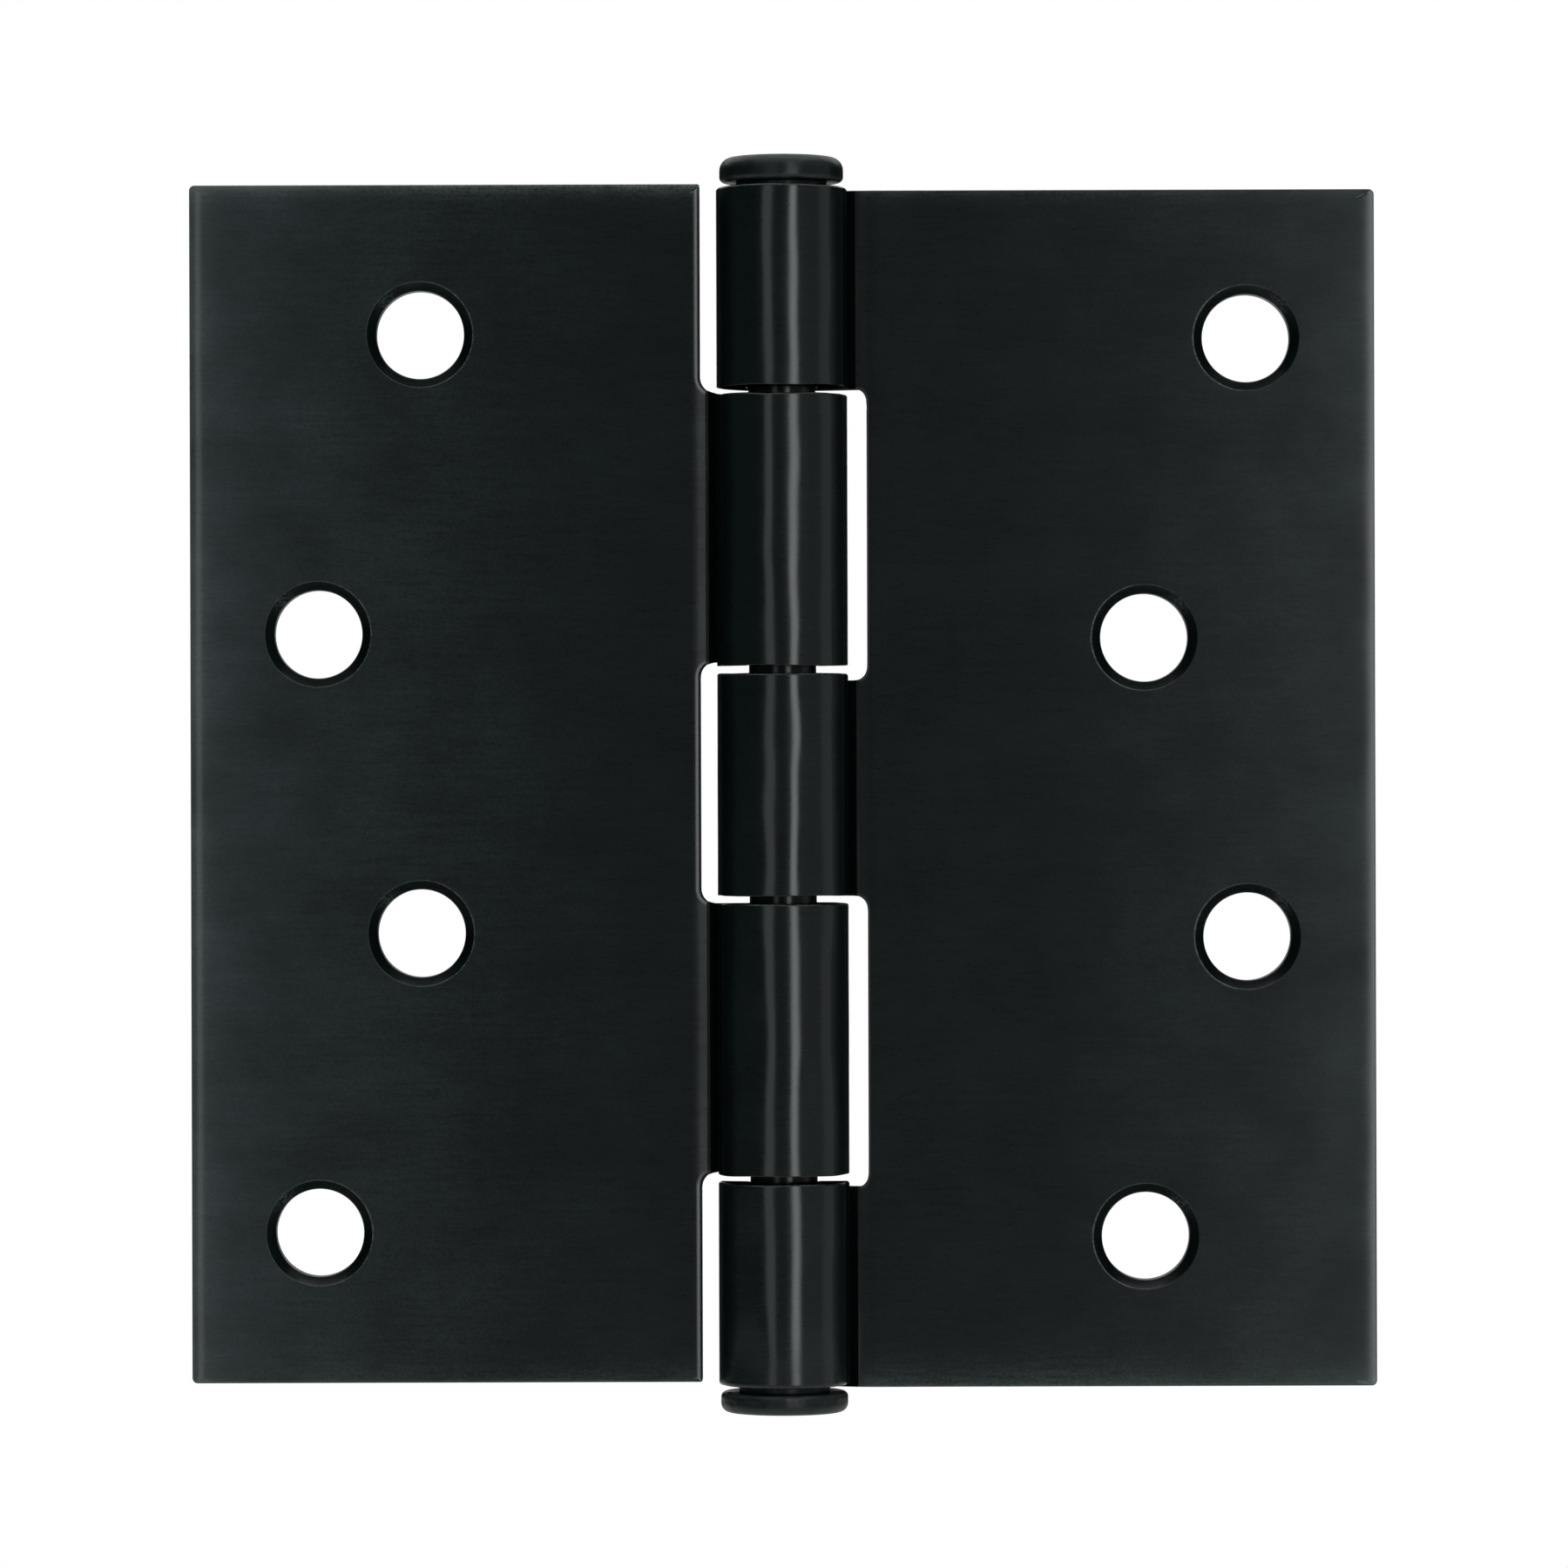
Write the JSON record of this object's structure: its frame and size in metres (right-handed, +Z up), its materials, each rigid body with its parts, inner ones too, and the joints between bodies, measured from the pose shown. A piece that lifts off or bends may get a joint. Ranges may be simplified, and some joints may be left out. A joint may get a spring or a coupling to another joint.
{
  "type": "door hinge",
  "caption": "Loose-pin butt hinge: two rolled black steel leaves with countersunk screw holes turn on a lift-out pin with a button head and matching bottom tip.",
  "frame": {"origin": "on the pin axis, at mid-height of the barrel", "axes": "+Z up along the pin, +X from the pin towards the outer edge of the frame leaf in the flat open pose, -Y out of the countersunk faces"},
  "size_m": [0.1006, 0.011, 0.1063],
  "materials": {
    "leaf_steel": "satin black coating over brushed sheet steel",
    "pin_steel": "satin black coating over turned steel"
  },
  "bodies": {
    "frame_side": {"frame_leaf": "leaf_steel", "bottom_tip": "pin_steel"},
    "door_side": {"door_leaf": "leaf_steel"},
    "pin": {"hinge_pin": "pin_steel"}
  },
  "joints": [
    {"name": "door_swing", "type": "hinge", "parent": "frame_side", "child": "door_side", "pos_m": [0, 0, 0], "axis": [0, 0, 1], "range_deg": [-126, 180]},
    {"name": "pin_lift", "type": "slide", "parent": "frame_side", "child": "pin", "axis": [0, 0, 1], "range_m": [0, 0.1]}
  ]
}
